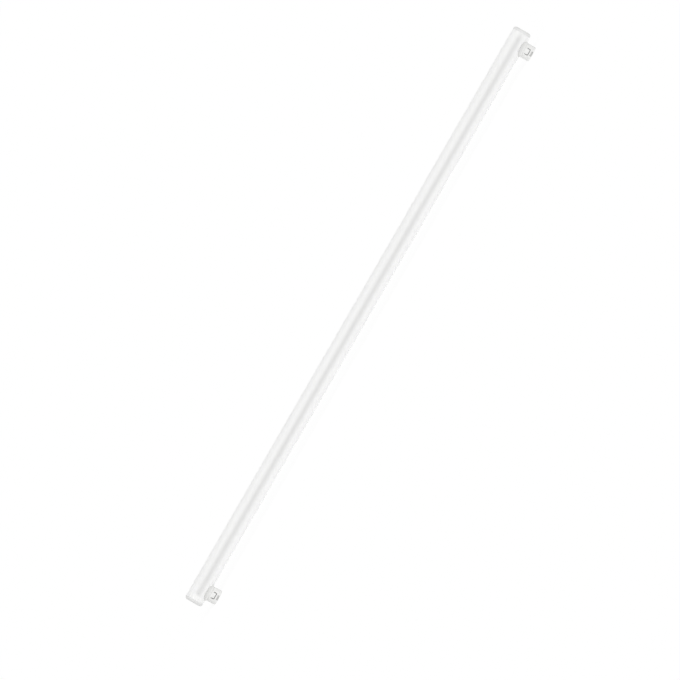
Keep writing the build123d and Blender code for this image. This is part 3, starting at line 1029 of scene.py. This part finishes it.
class LAMP_OT_peg_saddles(Operator):
    """Build both saddles: a soft-edged collar hollowed to the tube, a grooved neck and a spigot"""

    bl_idname = "lamp.peg_saddles"
    bl_label = "Peg saddles"

    def execute(self, context):
        finish = saddle_finish(context.scene.lamp_peg)
        for end, side in ENDS.items():
            saddle = self.collar(context, side)
            join(saddle, self.neck(context, side))
            join(saddle, self.spigot(context, side))
            self.hollow(context, saddle, side)
            saddle.name = f"saddle_{end}"
            dress(saddle, f"peg_saddle_{end}", finish)
        return {"FINISHED"}

    def collar(self, context, side):
        """The rounded square collar on its round foot, cut to the tube's round."""
        peg = context.scene.lamp_peg
        edge = peg.collar_edge
        foot = saddle_foot(peg)
        bottom = foot + peg.collar_foot
        top = TUBE_FOOT + peg.collar_rise
        profile = arc((-edge, bottom + edge), edge, -90, 0, EDGE_STEPS)
        profile += arc((-edge, top - edge), edge, 0, 90, EDGE_STEPS)
        outlines = []
        for growth, height in profile:
            corner = peg.collar_corner + growth
            outlines.append(rounded_square(COLLAR_HALF + growth, corner, peg.steps // 8))
        heights = [height for growth, height in profile]
        collar = stacked("collar", outlines, heights, under_peg(side))
        section = [
            (0.0, foot),
            (PEG_RADIUS - peg.edge_break, foot),
            (PEG_RADIUS, foot + peg.edge_break),
            (PEG_RADIUS, bottom + edge),
            (0.0, bottom + edge),
        ]
        join(collar, turned("collar_foot", section, peg.steps, under_peg(side)))
        seat = TUBE_RADIUS + peg.seat_gap
        reach = 2 * PEG_RADIUS
        rod = [(0.0, -reach), (seat, -reach), (seat, reach), (0.0, reach)]
        tube_steps = context.scene.lamp_tube.steps
        cut(collar, turned("rod", rod, tube_steps, along_tube(1, side * PEG_X)))
        return collar

    def neck(self, context, side):
        """The neck with its groove for the end cap's fork."""
        peg = context.scene.lamp_peg
        foot = saddle_foot(peg) + peg.edge_break
        groove_foot = AXIS_Z - fork_radius(context.scene) - context.scene.lamp_cap.fork_clearance
        groove_top = NECK_TOP - peg.head_height
        section = [
            (0.0, foot),
            (peg.neck_radius, foot),
            (peg.neck_radius, groove_foot),
            (peg.waist_radius, groove_foot),
            (peg.waist_radius, groove_top),
            (peg.neck_radius, groove_top),
            (peg.neck_radius, NECK_TOP),
            (0.0, NECK_TOP),
        ]
        return turned("neck", section, peg.steps, under_peg(side))

    def spigot(self, context, side):
        """The ring that goes into the cup."""
        peg = context.scene.lamp_peg
        outer = PEG_RADIUS - peg.cup_wall - peg.spigot_clearance
        inner = outer - peg.spigot_wall
        foot = saddle_foot(peg) - peg.spigot_length
        root = saddle_foot(peg) + peg.edge_break
        section = [(outer, foot), (outer, root), (inner, root), (inner, foot)]
        return turned("spigot", section, peg.steps, under_peg(side))

    def hollow(self, context, saddle, side):
        """The neck's bore, and the slot in its floor for the blade's tail."""
        peg = context.scene.lamp_peg
        floor = saddle_foot(peg) + peg.neck_floor
        top = NECK_TOP + CUT_OVERRUN
        bore = [(0.0, floor), (peg.neck_bore, floor), (peg.neck_bore, top), (0.0, top)]
        cut(saddle, turned("bore", bore, peg.steps // 2, under_peg(side)))
        tail = rectangle(peg.tail_width, peg.tail_thickness)
        foot = saddle_foot(peg) - CUT_OVERRUN
        cut(saddle, prism("tail_slot", tail, foot, floor + CUT_OVERRUN, under_peg(side)))


class LAMP_OT_peg_cups(Operator):
    """Build both cups, with a snap tongue and a contact window on each flank and a mouth in the end"""

    bl_idname = "lamp.peg_cups"
    bl_label = "Peg cups"

    def execute(self, context):
        settings = context.scene.lamp_peg
        finish = moulded_finish("peg_plastic", settings.colour, settings.roughness, PEG_GRAIN)
        for end, side in ENDS.items():
            cup = self.shell(settings, side)
            self.open_end(settings, cup, side)
            self.open_flanks(settings, cup, side)
            cup.name = f"cup_{end}"
            dress(cup, f"peg_cup_{end}", finish)
        return {"FINISHED"}

    def shell(self, peg, side):
        """The round cup with a soft end edge."""
        bore = PEG_RADIUS - peg.cup_wall
        edge = peg.cup_edge_radius
        top = saddle_foot(peg) - peg.seam_line
        section = [(0.0, 0.0)]
        section += arc((PEG_RADIUS - edge, edge), edge, -90, 0, EDGE_STEPS)
        section += [
            (PEG_RADIUS, top - peg.edge_break),
            (PEG_RADIUS - peg.edge_break, top),
            (bore, top),
            (bore, peg.cup_end_wall),
            (0.0, peg.cup_end_wall),
        ]
        return turned("shell", section, peg.steps, under_peg(side))

    def open_end(self, peg, cup, side):
        """The mouth in the cup's end."""
        mouth = rectangle(peg.mouth_length, peg.mouth_width)
        top = peg.cup_end_wall + CUT_OVERRUN
        cut(cup, prism("mouth", mouth, -CUT_OVERRUN, top, under_peg(side)))

    def open_flanks(self, peg, cup, side):
        """The U slot round each snap tongue, and the contact window under it."""
        top = saddle_foot(peg) - peg.spigot_length - peg.snap_root
        tongue_tip = top - peg.snap_length
        foot = tongue_tip - peg.snap_slot
        inner = peg.snap_width / 2
        outer = inner + peg.snap_slot
        corner = peg.snap_corner
        slot = [(-outer, top)]
        slot += arc((corner - outer, foot + corner), corner, 180, 270, CORNER_STEPS)
        slot += arc((outer - corner, foot + corner), corner, 270, 360, CORNER_STEPS)
        slot += [(outer, top), (inner, top), (inner, tongue_tip), (-inner, tongue_tip), (-inner, top)]
        reach = PEG_RADIUS + CUT_OVERRUN
        cut(cup, prism("snap_slot", slot, -reach, reach, across_peg(side)))
        window_middle = peg.cup_end_wall + peg.window_height / 2
        window = rectangle(peg.window_width, peg.window_height, (0.0, window_middle))
        cut(cup, prism("window", window, -reach, reach, across_peg(side)))


class LAMP_OT_contact_blades(Operator):
    """Finish both contact blades as stamped and plated metal"""

    bl_idname = "lamp.contact_blades"
    bl_label = "Contact blades"

    def execute(self, context):
        look = MetalLook(context.scene.lamp_peg.plating, 0.5, UP_PEG, 3000.0, 0.002 * MM)
        finish = metal_finish("contact_plated", look)
        for end in ENDS:
            frame["nodes"][f"contact_blade_{end}"].material_slots[0].material = finish
        return {"FINISHED"}


class LAMP_OT_light_engine(Operator):
    """Finish the carrier strip, the light boards, the power board and the leads inside the tube"""

    bl_idname = "lamp.light_engine"
    bl_label = "Light engine"

    def execute(self, context):
        finishes = {slot: metal_finish(slot, look) for slot, look in METALS.items()}
        finishes.update({slot: coated_finish(slot, look) for slot, look in COATS.items()})
        for subpart in frame["record"]["subparts"]:
            if subpart["material_slot"] in finishes:
                node = frame["nodes"][subpart["node"]]
                node.material_slots[0].material = finishes[subpart["material_slot"]]
        return {"FINISHED"}


# Stage


def seen_rays(tree):
    """A field that is 1 for what the camera sees, straight or by way of gloss or glass."""
    path = add_node(tree, "ShaderNodeLightPath").outputs
    seen = path["Is Camera Ray"]
    for ray in ("Is Glossy Ray", "Is Transmission Ray"):
        seen = reckoned(tree, "MAXIMUM", seen, path[ray])
    return seen


def floor_finish(settings):
    """A pale luminous floor that still takes the lamp's shadow."""
    material = bpy.data.materials.new("floor")
    material.use_nodes = True
    tree = material.node_tree
    tree.nodes.clear()
    strengths = {"Factor": seen_rays(tree), "A": settings.floor_glow, "B": settings.floor_white}
    strength = add_node(tree, "ShaderNodeMix", strengths).outputs["Result"]
    glow = add_node(tree, "ShaderNodeEmission", {"Strength": strength}).outputs["Emission"]
    shade = (settings.floor_shade, settings.floor_shade, settings.floor_shade, 1.0)
    matt = add_node(tree, "ShaderNodeBsdfDiffuse", {"Color": shade}).outputs["BSDF"]
    both = add_node(tree, "ShaderNodeAddShader", {0: glow, 1: matt}).outputs["Shader"]
    add_node(tree, "ShaderNodeOutputMaterial", {"Surface": both})
    return material


def studio_sky(settings):
    """A soft sky, brightest in front and dim past the lamp's ends, but plain white where it is seen."""
    world = bpy.data.worlds.new("studio")
    world.use_nodes = True
    tree = world.node_tree
    background = tree.nodes["Background"]
    background.inputs["Color"].default_value = (1.0, 1.0, 1.0, 1.0)
    axes = axes_of(tree, "Generated")
    front = reckoned(tree, "MULTIPLY_ADD", axes["Y"], -settings.sky_front, settings.sky_open)
    ends = reckoned(tree, "MULTIPLY_ADD", axes["X"], -settings.sky_ends, settings.sky_right)
    light = reckoned(tree, "MULTIPLY_ADD", axes["X"], ends, front)
    strength = add_node(tree, "ShaderNodeMix", {"Factor": seen_rays(tree), "A": light, "B": 1.0})
    tree.links.new(strength.outputs["Result"], background.inputs["Strength"])
    return world


class LAMP_OT_stage(Operator):
    """Set the floor, the light and the camera"""

    bl_idname = "lamp.stage"
    bl_label = "Stage"

    def execute(self, context):
        settings = context.scene.lamp_stage
        context.scene.view_settings.view_transform = "Standard"
        context.scene.world = studio_sky(settings)
        self.floor(settings)
        self.key_light(settings)
        self.camera(context, settings)
        return {"FINISHED"}

    def floor(self, settings):
        """A flat floor just under the pegs' ends."""
        bm = bmesh.new()
        bmesh.ops.create_grid(bm, x_segments=8, y_segments=8, size=settings.floor_size / 2)
        floor = solid("floor", bm)
        floor.location.z = CAD_BOX[0].z - FLOOR_GAP
        floor.data.materials.append(floor_finish(settings))

    def key_light(self, settings):
        """One broad soft light from above, in front and to the right."""
        light = bpy.data.lights.new("key_light", "SUN")
        light.energy = settings.key_strength
        light.angle = settings.key_softness
        key = linked("key_light", light)
        key.rotation_euler = Vector(settings.key_from).to_track_quat("Z", "Y").to_euler()

    def camera(self, context, settings):
        """A long lens that sees the lamp from the front, leaning in the picture."""
        data = bpy.data.cameras.new("camera")
        data.lens = settings.lens
        camera = linked("camera", data)
        context.scene.camera = camera
        level_right = Vector((1.0, 0.0, 0.0))
        level_up = Vector((0.0, math.sin(settings.elevation), math.cos(settings.elevation)))
        right = math.cos(settings.lean) * level_right - math.sin(settings.lean) * level_up
        up = math.sin(settings.lean) * level_right + math.cos(settings.lean) * level_up
        back = right.cross(up)
        metres_a_pixel = LAMP_LENGTH / settings.tube_pixels
        half_side = settings.picture_side / 2
        off_right = (settings.tube_middle[0] - half_side) * metres_a_pixel
        off_up = (half_side - settings.tube_middle[1]) * metres_a_pixel
        distance = settings.lens / data.sensor_width * settings.picture_side * metres_a_pixel
        aim = Vector((0.0, 0.0, AXIS_Z)) - off_right * right - off_up * up
        turn = Matrix((right, up, back)).transposed().to_4x4()
        camera.matrix_world = Matrix.Translation(aim + distance * back) @ turn
        data.clip_end = VIEW_RANGE * distance


class LAMP_PT_sidebar(Panel):
    """The lamp's pieces and their settings."""

    bl_idname = "LAMP_PT_sidebar"
    bl_label = "Linear lamp"
    bl_space_type = "VIEW_3D"
    bl_region_type = "UI"
    bl_category = "Lamp"

    def draw(self, context):
        layout = self.layout
        for operator in OPERATORS:
            layout.operator(operator.bl_idname)
        for group in GROUPS:
            box = layout.box()
            settings = getattr(context.scene, group)
            for name in settings.bl_rna.properties.keys():
                if name not in ("rna_type", "name"):
                    box.prop(settings, name)


OPERATORS = (
    LAMP_OT_diffuser_tube,
    LAMP_OT_end_caps,
    LAMP_OT_peg_saddles,
    LAMP_OT_peg_cups,
    LAMP_OT_contact_blades,
    LAMP_OT_light_engine,
    LAMP_OT_stage,
)
GROUPS = {
    "lamp_tube": LampTubeSettings,
    "lamp_cap": LampCapSettings,
    "lamp_peg": LampPegSettings,
    "lamp_stage": LampStageSettings,
}


def register():
    for name, group in GROUPS.items():
        bpy.utils.register_class(group)
        setattr(bpy.types.Scene, name, PointerProperty(type=group))
    for operator in OPERATORS:
        bpy.utils.register_class(operator)
    bpy.utils.register_class(LAMP_PT_sidebar)


def unregister():
    bpy.utils.unregister_class(LAMP_PT_sidebar)
    for operator in reversed(OPERATORS):
        bpy.utils.unregister_class(operator)
    for name, group in GROUPS.items():
        delattr(bpy.types.Scene, name)
        bpy.utils.unregister_class(group)


def main():
    register()
    bpy.ops.lamp.diffuser_tube()
    bpy.ops.lamp.end_caps()
    bpy.ops.lamp.peg_saddles()
    bpy.ops.lamp.peg_cups()
    bpy.ops.lamp.contact_blades()
    bpy.ops.lamp.light_engine()
    bpy.ops.lamp.stage()


if __name__ == "__main__":
    main()
